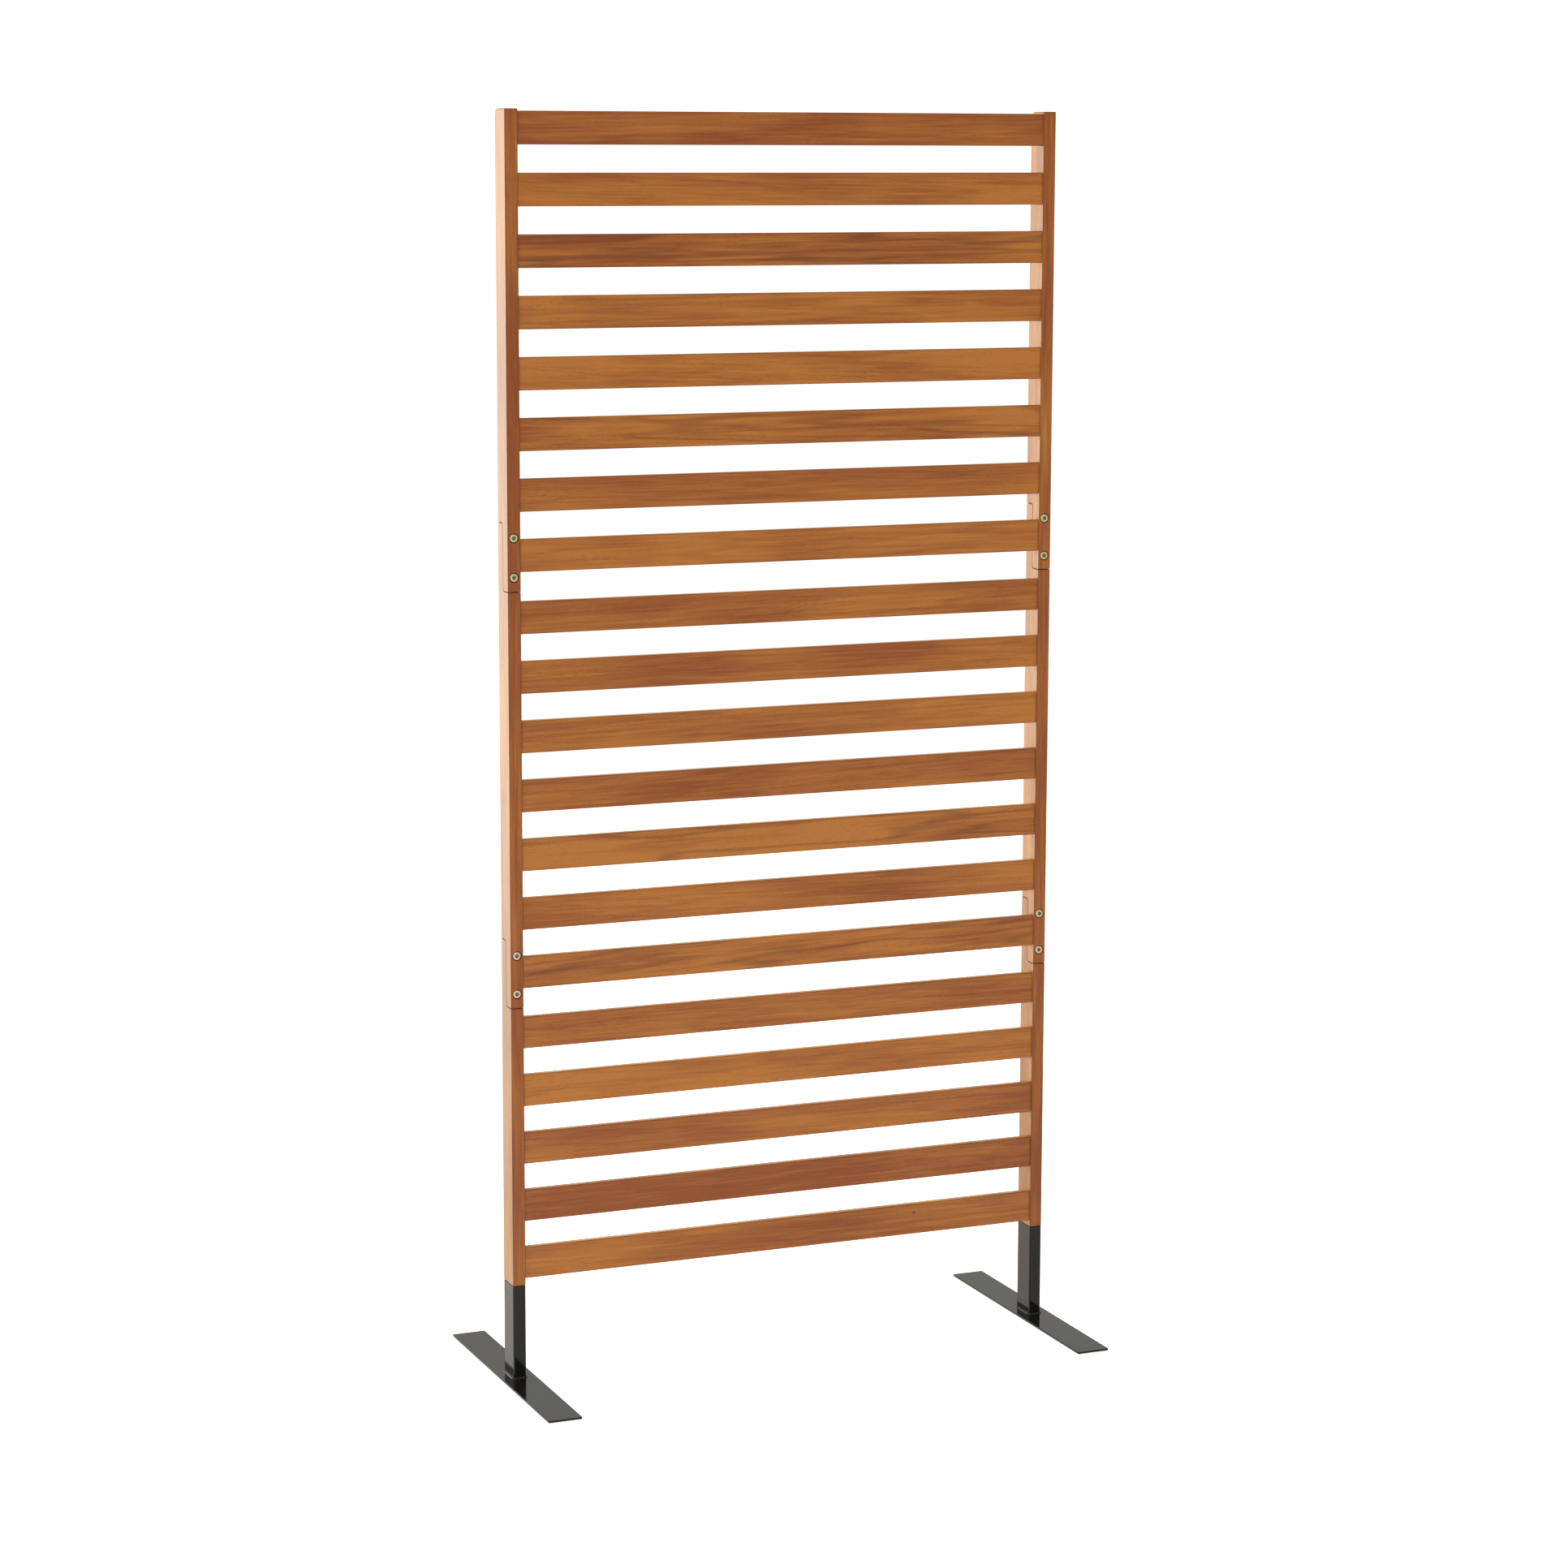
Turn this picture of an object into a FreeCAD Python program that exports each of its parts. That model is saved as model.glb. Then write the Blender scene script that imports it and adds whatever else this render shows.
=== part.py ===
import FreeCAD, Part
import math
import os
import Sketcher

# Free-standing slatted privacy screen: three hardwood sections stacked on two steel feet.
# X runs along the slats, the front looks along -Y, Z is up and the floor is at zero.

# Driving sizes in millimetres: name, value, what it measures.
SIZES = (
    ("screen_width", 840, "over the outer faces of the two posts"),
    ("post_width", 19, "post seen from the front"),
    ("post_depth", 42, "post from front to back"),
    ("post_arris", 0.8, "bevel on a post's long corners"),
    ("post_top_round", 10, "rounding of the post's rear top corner"),
    ("post_top_margin", 3, "post above the top slat"),
    ("post_bottom_margin", 9, "post below the bottom slat, down to the steel"),
    ("slat_height", 46, "slat seen from the front"),
    ("slat_thickness", 11, "slat from front to back"),
    ("slat_arris", 1.2, "bevel on a slat's long edges"),
    ("slat_recess", 3, "slat face behind the post face"),
    ("slat_gap", 38, "open gap between slats of one section"),
    ("joint_slat_gap", 41, "open gap between slats of neighbouring sections"),
    ("tenon_length", 9, "stub tenon into the post"),
    ("tenon_cheek", 2, "shoulder at the front and back of a tenon"),
    ("tenon_shoulder", 8, "shoulder above and below a tenon"),
    ("tenon_clearance", 0.1, "glue line around a tenon"),
    ("mortise_end_clearance", 0.5, "room past the end of a tenon"),
    ("bolt_above_slat", 2, "upper lap bolt above the slat beside it"),
    ("bolt_below_slat", 7, "lower lap bolt below the slat beside it"),
    ("lap_end_margin", 20, "lap bolt to the end of the lap"),
    ("lap_round", 5, "routed corners of the half lap"),
    ("lap_clearance", 0.6, "open line at each end of the half lap"),
    ("bolt_diameter", 6, "thread of a lap bolt"),
    ("bolt_clearance", 0.6, "bolt hole over the bolt"),
    ("bolt_head_diameter", 12, "cylinder head of a lap bolt"),
    ("bolt_head_height", 5, "cylinder head of a lap bolt"),
    ("bolt_socket_flats", 5, "hexagon socket across its flats"),
    ("bolt_socket_depth", 3, "hexagon socket"),
    ("bolt_engagement", 10, "bolt past the lap plane"),
    ("counterbore_clearance", 2, "counterbore over the bolt head"),
    ("counterbore_depth", 6, "head seat behind the post face"),
    ("insert_diameter", 10, "threaded insert nut"),
    ("insert_length", 13, "threaded insert nut"),
    ("insert_clearance", 0.1, "hole over the insert"),
    ("thread_clearance", 0.1, "insert's thread over the bolt"),
    ("insert_end_clearance", 1, "hole past the end of the insert"),
    ("plate_length", 430, "foot plate from front to back"),
    ("plate_width", 50, "foot plate along the slats"),
    ("plate_thickness", 3, "foot plate"),
    ("plate_corner", 2, "rounding of the plate's upright corners"),
    ("upright_height", 137, "steel tube from plate to wood"),
    ("tube_wall", 1.5, "wall of the steel tube"),
    ("tube_corner", 2, "rounding of the tube's outside corners"),
    ("weld_leg", 3, "fillet weld round the tube's foot"),
    ("weld_toe", 0.4, "upright face left at the weld's toe"),
    ("spigot_length", 60, "foot of the post inside the tube"),
    ("spigot_clearance", 0.25, "post to tube, each side"),
    ("screw_diameter", 5, "coach screw through the tube's back"),
    ("screw_clearance", 0.5, "tube hole over the screw"),
    ("screw_engagement", 22, "screw inside the post"),
    ("screw_pilot_clearance", 0.1, "pilot hole over the screw"),
    ("screw_head_flats", 8, "hexagon head of the screw across its flats"),
    ("screw_head_height", 3.5, "hexagon head of the screw"),
    ("screw_drop", 30, "screw below the tube's top"),
)

# Sections from the floor up, and the number of slats in each.
SECTIONS = ("lower", "middle", "upper")
SLAT_COUNTS = (5, 7, 8)
# Posts, and the side of the screen they stand on along X.
POSTS = ("left", "right")
POST_SIDES = (-1, 1)

doc = FreeCAD.newDocument("slatted_screen")
sheet = doc.addObject("Spreadsheet::Sheet", "sizes")
for row, (alias, number, note) in enumerate(SIZES, start=1):
    sheet.set(f"A{row}", note)
    sheet.set(f"B{row}", str(number))
    sheet.setAlias(f"B{row}", alias)
doc.recompute()

# Sizes that follow from the driving ones, as expressions.
PITCH = "(sizes.slat_height + sizes.slat_gap)"
CLEAR_WIDTH = "(sizes.screen_width - 2 * sizes.post_width)"
POST_X = "(sizes.screen_width / 2 - sizes.post_width / 2)"
HALF_WIDTH = "(sizes.post_width / 2)"
HALF_DEPTH = "(sizes.post_depth / 2)"
WOOD_Z = "(sizes.plate_thickness + sizes.upright_height)"
SLAT_FRONT = f"(sizes.slat_recess - {HALF_DEPTH})"
SLAT_BACK = f"({SLAT_FRONT} + sizes.slat_thickness)"
TENON_TOP = "(sizes.slat_height - sizes.tenon_shoulder)"
BOLT_HIGH = "(sizes.slat_height + sizes.bolt_above_slat)"
BOLT_LOW = "(-sizes.bolt_below_slat)"
LAP_LOW = f"({BOLT_LOW} - sizes.lap_end_margin)"
LAP_HIGH = f"({BOLT_HIGH} + sizes.lap_end_margin)"
SPIGOT_INSET = "(sizes.tube_wall + sizes.spigot_clearance)"
SPIGOT_BACK = f"({HALF_DEPTH} - {SPIGOT_INSET})"


def value(expression):
    """The number that an expression on the sheet gives."""
    return float(sheet.evalExpression(expression))


def section_rise(slats):
    """Top of a section's top slat above the underside of its bottom slat."""
    return f"({slats - 1} * {PITCH} + sizes.slat_height)"


def next_section(slats):
    """Underside of the next section's bottom slat above that of this section."""
    return f"({section_rise(slats)} + sizes.joint_slat_gap)"


def section_floors():
    """Height of the underside of each section's bottom slat."""
    floors = {}
    floor = f"({WOOD_Z} + sizes.post_bottom_margin)"
    for name, slats in zip(SECTIONS, SLAT_COUNTS):
        floors[name] = floor
        floor = f"({floor} + {next_section(slats)})"
    return floors


# Document helpers: bodies, sketches and features bound to the sheet.
def new_body(label, x="0", y="0", z="0"):
    body = doc.addObject("PartDesign::Body", label)
    body.Label = label
    for axis, place in zip("xyz", (x, y, z)):
        body.setExpression(f"Placement.Base.{axis}", place)
    return body


def new_sketch(body, role, offset="0"):
    """A sketch on one of the body's own planes, moved along the plane's normal."""
    sketch = body.newObject("Sketcher::SketchObject", f"{body.Name}_sketch")
    plane = next(item for item in body.Origin.OriginFeatures if item.Role == role)
    sketch.AttachmentSupport = (plane, "")
    sketch.MapMode = "FlatFace"
    sketch.setExpression("AttachmentOffset.Base.z", offset)
    return sketch


def bind(sketch, kind, geometry, expression):
    """A dimension from the sketch origin, or of one curve, that follows the sheet."""
    number = value(expression)
    if kind in ("DistanceX", "DistanceY"):
        index = sketch.addConstraint(Sketcher.Constraint(kind, -1, 1, *geometry, number))
    else:
        index = sketch.addConstraint(Sketcher.Constraint(kind, geometry, number))
    sketch.setExpression(f"Constraints[{index}]", expression)


def rectangle(sketch, left, right, low, high):
    """A rectangle given by the places of its four sides."""
    x_left, x_right, y_low, y_high = (value(side) for side in (left, right, low, high))
    corners = [(x_left, y_low), (x_right, y_low), (x_right, y_high), (x_left, y_high)]
    points = [FreeCAD.Vector(x, y, 0) for x, y in corners]
    lines = [sketch.addGeometry(Part.LineSegment(points[i], points[(i + 1) % 4])) for i in range(4)]
    for i in range(4):
        sketch.addConstraint(Sketcher.Constraint("Coincident", lines[i], 2, lines[(i + 1) % 4], 1))
        sketch.addConstraint(Sketcher.Constraint(("Horizontal", "Vertical")[i % 2], lines[i]))
    bind(sketch, "DistanceX", (lines[0], 1), left)
    bind(sketch, "DistanceX", (lines[0], 2), right)
    bind(sketch, "DistanceY", (lines[0], 1), low)
    bind(sketch, "DistanceY", (lines[2], 1), high)


def middle_rectangle(sketch, width, height):
    """A rectangle about the sketch origin."""
    rectangle(sketch, f"-{width} / 2", f"{width} / 2", f"-{height} / 2", f"{height} / 2")


def circle(sketch, x, y, diameter):
    centre = FreeCAD.Vector(value(x), value(y), 0)
    curve = sketch.addGeometry(Part.Circle(centre, FreeCAD.Vector(0, 0, 1), value(diameter) / 2))
    bind(sketch, "DistanceX", (curve, 3), x)
    bind(sketch, "DistanceY", (curve, 3), y)
    bind(sketch, "Diameter", curve, diameter)


def hexagon(sketch, flats):
    """A regular hexagon about the sketch origin, with one corner straight up."""
    radius = f"{flats} / sqrt(3)"
    ring = sketch.addGeometry(Part.Circle(FreeCAD.Vector(), FreeCAD.Vector(0, 0, 1), value(radius)), True)
    sketch.addConstraint(Sketcher.Constraint("Coincident", ring, 3, -1, 1))
    bind(sketch, "Radius", ring, radius)
    turns = [math.radians(90 + 60 * i) for i in range(6)]
    corners = [FreeCAD.Vector(math.cos(a), math.sin(a), 0) * value(radius) for a in turns]
    lines = [sketch.addGeometry(Part.LineSegment(corners[i], corners[(i + 1) % 6])) for i in range(6)]
    for i in range(6):
        sketch.addConstraint(Sketcher.Constraint("Coincident", lines[i], 2, lines[(i + 1) % 6], 1))
        sketch.addConstraint(Sketcher.Constraint("PointOnObject", lines[i], 1, ring))
    for i in range(1, 6):
        sketch.addConstraint(Sketcher.Constraint("Equal", lines[0], lines[i]))
    sketch.addConstraint(Sketcher.Constraint("PointOnObject", lines[0], 1, -2))


def extrude(body, kind, sketch, length, reverse=False, both_ways=False):
    """A pad or pocket of the sketch; a pocket has to take material away."""
    before = body.Shape.Volume if kind == "Pocket" else 0
    feature = body.newObject(f"PartDesign::{kind}", f"{body.Name}_{kind.lower()}")
    feature.Profile = sketch
    feature.setExpression("Length", length)
    feature.Reversed = reverse
    feature.SideType = "Symmetric" if both_ways else "One side"
    doc.recompute()
    if kind == "Pocket" and not feature.Shape.Volume < before:
        raise RuntimeError(f"{feature.Name} cuts nothing")
    return feature


def edges_of(feature, test):
    """Names of the feature's edges that pass the test, which gets the middle and the direction."""
    names = []
    for number, edge in enumerate(feature.Shape.Edges, start=1):
        middle = edge.valueAt((edge.FirstParameter + edge.LastParameter) / 2)
        span = edge.valueAt(edge.LastParameter) - edge.valueAt(edge.FirstParameter)
        if test(middle, span):
            names.append(f"Edge{number}")
    return names


def dress(body, kind, edges, expression):
    """A fillet or chamfer on edges of the body's last feature."""
    feature = body.newObject(f"PartDesign::{kind}", f"{body.Name}_{kind.lower()}")
    feature.Base = (feature.BaseFeature, edges)
    feature.setExpression("Radius" if kind == "Fillet" else "Size", expression)
    doc.recompute()
    return feature


def near(a, b):
    """True where two places agree to well under any size of the model."""
    return abs(a - b) < value("sizes.post_depth") * 1e-6


def beyond(a, limit):
    """True where a place lies outside a limit on either side of the origin."""
    return abs(a) > value(limit) and not near(abs(a), value(limit))


def along(span, axis):
    """True where an edge runs straight along one axis."""
    return span.Length > 0 and near(abs(span[axis]), span.Length)


def upright_corners(feature, half_x, half_y):
    """Vertical edges at the corners of a rectangle about the body's origin."""
    return edges_of(
        feature,
        lambda middle, span: along(span, 2)
        and near(abs(middle.x), value(half_x))
        and near(abs(middle.y), value(half_y)),
    )


def cross_edges(feature, y, z):
    """Edges along X at one place of the side view."""
    return edges_of(
        feature,
        lambda middle, span: along(span, 0) and near(middle.y, value(y)) and near(middle.z, value(z)),
    )


def group(label, bodies):
    """Identical loose pieces that share one node."""
    compound = doc.addObject("Part::Compound", label)
    compound.Label = label
    compound.Links = bodies
    return compound


# One slat: a board with eased long edges and a stub tenon at each end.
def make_slat(label, z):
    body = new_body(label, z=z)
    board = new_sketch(body, "YZ_Plane")
    rectangle(board, SLAT_FRONT, SLAT_BACK, "0", "sizes.slat_height")
    blank = extrude(body, "Pad", board, CLEAR_WIDTH, both_ways=True)
    dress(body, "Chamfer", edges_of(blank, lambda middle, span: along(span, 0)), "sizes.slat_arris")
    tenon = new_sketch(body, "YZ_Plane")
    rectangle(
        tenon,
        f"{SLAT_FRONT} + sizes.tenon_cheek",
        f"{SLAT_BACK} - sizes.tenon_cheek",
        "sizes.tenon_shoulder",
        TENON_TOP,
    )
    extrude(body, "Pad", tenon, f"{CLEAR_WIDTH} + 2 * sizes.tenon_length", both_ways=True)
    return body


# One post length. Its heights are measured from the underside of its section's bottom slat.
def cut_lap(body, front, low, high):
    """Half the depth is cut away between two heights, with routed corners on the lap plane."""
    sketch = new_sketch(body, "YZ_Plane")
    y_from, y_to = (f"-{HALF_DEPTH}", "0") if front else ("0", HALF_DEPTH)
    rectangle(sketch, y_from, y_to, low, high)
    cut = extrude(body, "Pocket", sketch, "sizes.post_width", both_ways=True)
    corners = cross_edges(cut, "0", low) + cross_edges(cut, "0", high)
    dress(body, "Fillet", corners, "sizes.lap_round")


def round_top(body, blank, top):
    """The rear top corner is rounded off."""
    dress(body, "Fillet", cross_edges(blank, HALF_DEPTH, top), "sizes.post_top_round")


def ease_corners(body, top):
    """The long outer corners are eased, and the front top corner with them."""
    edges = upright_corners(body.Tip, HALF_WIDTH, HALF_DEPTH)
    if top:
        edges += cross_edges(body.Tip, f"-{HALF_DEPTH}", top)
    dress(body, "Chamfer", edges, "sizes.post_arris")


def cut_mortises(body, inward, slats):
    """One mortise per slat in the inner face."""
    sketch = new_sketch(body, "YZ_Plane", f"{inward} * {HALF_WIDTH}")
    rectangle(
        sketch,
        f"{SLAT_FRONT} + sizes.tenon_cheek - sizes.tenon_clearance",
        f"{SLAT_BACK} - sizes.tenon_cheek + sizes.tenon_clearance",
        "sizes.tenon_shoulder - sizes.tenon_clearance",
        f"{TENON_TOP} + sizes.tenon_clearance",
    )
    depth = "sizes.tenon_length + sizes.mortise_end_clearance"
    pocket = extrude(body, "Pocket", sketch, depth, reverse=inward < 0)
    pattern = body.newObject("PartDesign::LinearPattern", f"{body.Name}_mortises")
    pattern.Originals = [pocket]
    pattern.Direction = (sketch, ["V_Axis"])
    pattern.Mode = "Spacing"
    pattern.Occurrences = slats
    pattern.setExpression("Offset", PITCH)
    body.Tip = pattern
    doc.recompute()


def bore_bolt_holes(body):
    """Counterbored holes through the front tongue."""
    sketch = new_sketch(body, "XZ_Plane", HALF_DEPTH)
    bore = "sizes.bolt_diameter + sizes.bolt_clearance"
    for height in (BOLT_LOW, BOLT_HIGH):
        circle(sketch, "0", height, bore)
    doc.recompute()
    hole = body.newObject("PartDesign::Hole", f"{body.Name}_bolt_holes")
    hole.Profile = sketch
    hole.DepthType = "ThroughAll"
    hole.DrillPoint = "Flat"
    hole.setExpression("Diameter", bore)
    hole.HoleCutType = "Counterbore"
    hole.HoleCutCustomValues = True
    hole.setExpression("HoleCutDiameter", "sizes.bolt_head_diameter + sizes.counterbore_clearance")
    hole.setExpression("HoleCutDepth", "sizes.counterbore_depth")
    doc.recompute()


def bore_insert_holes(body, floor):
    """Blind holes in the rear tongue for the threaded inserts of the section above."""
    sketch = new_sketch(body, "XZ_Plane")
    for height in (BOLT_LOW, BOLT_HIGH):
        circle(sketch, "0", f"{floor} + {height}", "sizes.insert_diameter + sizes.insert_clearance")
    extrude(body, "Pocket", sketch, "sizes.insert_length + sizes.insert_end_clearance")


def add_spigot(body):
    """The post's foot is cut down to slide into the steel tube, with a pilot hole from the back."""
    shoulder = "-sizes.post_bottom_margin"
    sketch = new_sketch(body, "XY_Plane", shoulder)
    middle_rectangle(
        sketch,
        f"(sizes.post_width - 2 * {SPIGOT_INSET})",
        f"(sizes.post_depth - 2 * {SPIGOT_INSET})",
    )
    extrude(body, "Pad", sketch, "sizes.spigot_length", reverse=True)
    pilot = new_sketch(body, "XZ_Plane", f"-{SPIGOT_BACK}")
    bore = "sizes.screw_diameter + sizes.screw_pilot_clearance"
    circle(pilot, "0", f"{shoulder} - sizes.screw_drop", bore)
    extrude(body, "Pocket", pilot, "sizes.screw_engagement", reverse=True)


def make_post(label, section, slats, side, floor):
    """One length of a post; the lowest stands in the foot, the highest has the rounded top."""
    lowest = section == SECTIONS[0]
    highest = section == SECTIONS[-1]
    above = next_section(slats)
    bottom = "(-sizes.post_bottom_margin)" if lowest else LAP_LOW
    top = f"({above} + {LAP_HIGH} - sizes.lap_clearance)"
    if highest:
        top = f"({section_rise(slats)} + sizes.post_top_margin)"
    body = new_body(label, x=f"{side} * {POST_X}", z=floor)
    outline = new_sketch(body, "XY_Plane", bottom)
    middle_rectangle(outline, "sizes.post_width", "sizes.post_depth")
    blank = extrude(body, "Pad", outline, f"{top} - {bottom}")
    if highest:
        round_top(body, blank, top)
    else:
        cut_lap(body, True, f"({above} + {LAP_LOW} - sizes.lap_clearance)", top)
    if not lowest:
        cut_lap(body, False, LAP_LOW, LAP_HIGH)
    ease_corners(body, top if highest else None)
    cut_mortises(body, -side, slats)
    if lowest:
        add_spigot(body)
    else:
        bore_bolt_holes(body)
    if not highest:
        bore_insert_holes(body, above)
    return body


# Lap fasteners: a socket-head bolt from the front and a threaded insert in the rear tongue.
def make_bolt(label, x, z):
    body = new_body(label, x, f"sizes.counterbore_depth - {HALF_DEPTH}", z)
    head = new_sketch(body, "XZ_Plane")
    circle(head, "0", "0", "sizes.bolt_head_diameter")
    extrude(body, "Pad", head, "sizes.bolt_head_height")
    shank = new_sketch(body, "XZ_Plane")
    circle(shank, "0", "0", "sizes.bolt_diameter")
    reach = f"{HALF_DEPTH} - sizes.counterbore_depth + sizes.bolt_engagement"
    extrude(body, "Pad", shank, reach, reverse=True)
    socket = new_sketch(body, "XZ_Plane", "sizes.bolt_head_height")
    hexagon(socket, "sizes.bolt_socket_flats")
    extrude(body, "Pocket", socket, "sizes.bolt_socket_depth")
    return body


def make_insert(label, x, z):
    body = new_body(label, x, "0", z)
    ring = new_sketch(body, "XZ_Plane")
    circle(ring, "0", "0", "sizes.insert_diameter")
    circle(ring, "0", "0", "sizes.bolt_diameter + sizes.thread_clearance")
    extrude(body, "Pad", ring, "sizes.insert_length", reverse=True)
    return body


# Feet: a flat plate, a rectangular tube welded to it, and a coach screw into the post from the back.
def make_plate(label, x):
    body = new_body(label, x)
    outline = new_sketch(body, "XY_Plane")
    middle_rectangle(outline, "sizes.plate_width", "sizes.plate_length")
    flat = extrude(body, "Pad", outline, "sizes.plate_thickness")
    corners = upright_corners(flat, "sizes.plate_width / 2", "sizes.plate_length / 2")
    dress(body, "Fillet", corners, "sizes.plate_corner")
    return body


def make_upright(label, x):
    body = new_body(label, x, z="sizes.plate_thickness")
    outline = new_sketch(body, "XY_Plane")
    middle_rectangle(outline, "sizes.post_width", "sizes.post_depth")
    middle_rectangle(
        outline,
        "(sizes.post_width - 2 * sizes.tube_wall)",
        "(sizes.post_depth - 2 * sizes.tube_wall)",
    )
    tube = extrude(body, "Pad", outline, "sizes.upright_height")
    dress(body, "Fillet", upright_corners(tube, HALF_WIDTH, HALF_DEPTH), "sizes.tube_corner")
    hole = new_sketch(body, "XZ_Plane", f"-{HALF_DEPTH}")
    bore = "sizes.screw_diameter + sizes.screw_clearance"
    circle(hole, "0", "sizes.upright_height - sizes.screw_drop", bore)
    extrude(body, "Pocket", hole, "sizes.tube_wall", reverse=True)
    return body


def make_weld(label, x):
    """A fillet weld all round the tube's foot, sloping from the plate up to the tube."""
    body = new_body(label, x, z="sizes.plate_thickness")
    outline = new_sketch(body, "XY_Plane")
    middle_rectangle(
        outline,
        "(sizes.post_width + 2 * sizes.weld_leg)",
        "(sizes.post_depth + 2 * sizes.weld_leg)",
    )
    middle_rectangle(outline, "sizes.post_width", "sizes.post_depth")
    ring = extrude(body, "Pad", outline, "sizes.weld_leg")
    inside = upright_corners(ring, HALF_WIDTH, HALF_DEPTH)
    seated = dress(body, "Fillet", inside, "sizes.tube_corner")
    outer_x = f"({HALF_WIDTH} + sizes.weld_leg)"
    outer_y = f"({HALF_DEPTH} + sizes.weld_leg)"
    turned = dress(body, "Chamfer", upright_corners(seated, outer_x, outer_y), "sizes.weld_leg")
    crest = edges_of(
        turned,
        lambda middle, span: near(middle.z, value("sizes.weld_leg"))
        and (beyond(middle.x, HALF_WIDTH) or beyond(middle.y, HALF_DEPTH)),
    )
    dress(body, "Chamfer", crest, "sizes.weld_leg - sizes.weld_toe")
    return body


def make_screw(label, x, z):
    body = new_body(label, x, HALF_DEPTH, z)
    head = new_sketch(body, "XZ_Plane")
    hexagon(head, "sizes.screw_head_flats")
    extrude(body, "Pad", head, "sizes.screw_head_height", reverse=True)
    shank = new_sketch(body, "XZ_Plane")
    circle(shank, "0", "0", "sizes.screw_diameter")
    extrude(body, "Pad", shank, f"{SPIGOT_INSET} + sizes.screw_engagement")
    return body


# The whole screen, from the floor up.
floors = section_floors()
nodes = []
bolts = []
inserts = []
screws = []

slat_number = sum(SLAT_COUNTS)
for section, slats in zip(SECTIONS, SLAT_COUNTS):
    for i in range(slats):
        nodes.append(make_slat(f"slat_{slat_number:02d}", f"{floors[section]} + {i} * {PITCH}"))
        slat_number -= 1

for post, side in zip(POSTS, POST_SIDES):
    post_x = f"{side} * {POST_X}"
    for section, slats in zip(SECTIONS, SLAT_COUNTS):
        nodes.append(make_post(f"post_{post}_{section}", section, slats, side, floors[section]))
    for section in SECTIONS[1:]:
        for place in (BOLT_LOW, BOLT_HIGH):
            height = f"{floors[section]} + {place}"
            bolts.append(make_bolt(f"bolt_{len(bolts)}", post_x, height))
            inserts.append(make_insert(f"insert_{len(inserts)}", post_x, height))
    nodes.append(make_plate(f"foot_plate_{post}", post_x))
    nodes.append(make_upright(f"foot_upright_{post}", post_x))
    nodes.append(make_weld(f"foot_weld_{post}", post_x))
    screws.append(make_screw(f"screw_{post}", post_x, f"{WOOD_Z} - sizes.screw_drop"))

nodes.append(group("lap_bolts", bolts))
nodes.append(group("lap_insert_nuts", inserts))
nodes.append(group("foot_screws", screws))
doc.recompute()

# Every object has to be sound before anything is written.
for item in doc.Objects:
    if {"Invalid", "Error"} & set(item.State):
        raise RuntimeError(f"{item.Name} failed: {item.State}")
for node in nodes:
    solids = len(node.Links) if node.TypeId == "Part::Compound" else 1
    if node.Shape.isNull() or not node.Shape.isValid() or len(node.Shape.Solids) != solids:
        raise RuntimeError(f"{node.Label} has no sound shape")

os.makedirs("parts", exist_ok=True)
for node in nodes:
    node.Shape.exportStep(f"parts/{node.Label}.step")
print(f"{len(nodes)} nodes written")
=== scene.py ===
import bmesh
import bpy
import numpy as np
from mathutils import Matrix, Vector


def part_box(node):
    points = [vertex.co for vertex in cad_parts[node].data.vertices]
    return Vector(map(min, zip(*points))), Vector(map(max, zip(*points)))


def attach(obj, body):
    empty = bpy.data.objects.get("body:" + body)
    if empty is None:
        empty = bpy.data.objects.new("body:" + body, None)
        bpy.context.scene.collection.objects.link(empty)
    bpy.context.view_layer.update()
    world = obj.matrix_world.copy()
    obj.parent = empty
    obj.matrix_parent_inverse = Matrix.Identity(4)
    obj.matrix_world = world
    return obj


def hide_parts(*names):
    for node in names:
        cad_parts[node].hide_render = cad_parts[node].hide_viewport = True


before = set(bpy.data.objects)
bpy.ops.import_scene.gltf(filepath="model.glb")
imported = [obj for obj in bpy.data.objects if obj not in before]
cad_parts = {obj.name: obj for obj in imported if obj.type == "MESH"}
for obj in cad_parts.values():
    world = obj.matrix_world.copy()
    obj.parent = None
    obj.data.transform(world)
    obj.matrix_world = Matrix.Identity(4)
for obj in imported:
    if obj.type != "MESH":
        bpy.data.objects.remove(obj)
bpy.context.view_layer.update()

# Foot plates: two flat steel bars that lie on the floor, one under each post, front to back.
# Sawn to length, corners and rims deburred, then powder coated black with the rest of the foot.
MM = 0.001
PLATE_CORNER = 2 * MM
PLATE_RIM = 0.6 * MM
COAT_BLACK = "0d0d0d"
COAT_DUST = "181715"
PEEL_SIZE = 1.8 * MM
PEEL_HEIGHT = 0.02 * MM
DUST_SIZE = 90 * MM
SOFT_ANGLE = np.radians(35)
RIM_STEPS = 5


def linear(code):
    """An sRGB hex colour as linear RGBA."""
    part = np.array([int(code[i:i + 2], 16) for i in (0, 2, 4)]) / 255
    rgb = np.where(part <= 0.04045, part / 12.92, ((part + 0.055) / 1.055) ** 2.4)
    return (*rgb.tolist(), 1.0)


def put(tree, kind, inputs, **settings):
    """Adds one shader node; an input is either a value or the socket that feeds it."""
    made = tree.nodes.new("ShaderNode" + kind)
    for key, value in settings.items():
        setattr(made, key, value)
    for key, value in inputs.items():
        if isinstance(value, bpy.types.NodeSocket):
            tree.links.new(value, made.inputs[key])
        else:
            made.inputs[key].default_value = value
    return made


def new_tree(name):
    """An empty material and its node tree."""
    material = bpy.data.materials.new(name)
    material.use_nodes = True
    material.node_tree.nodes.clear()
    return material, material.node_tree


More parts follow.
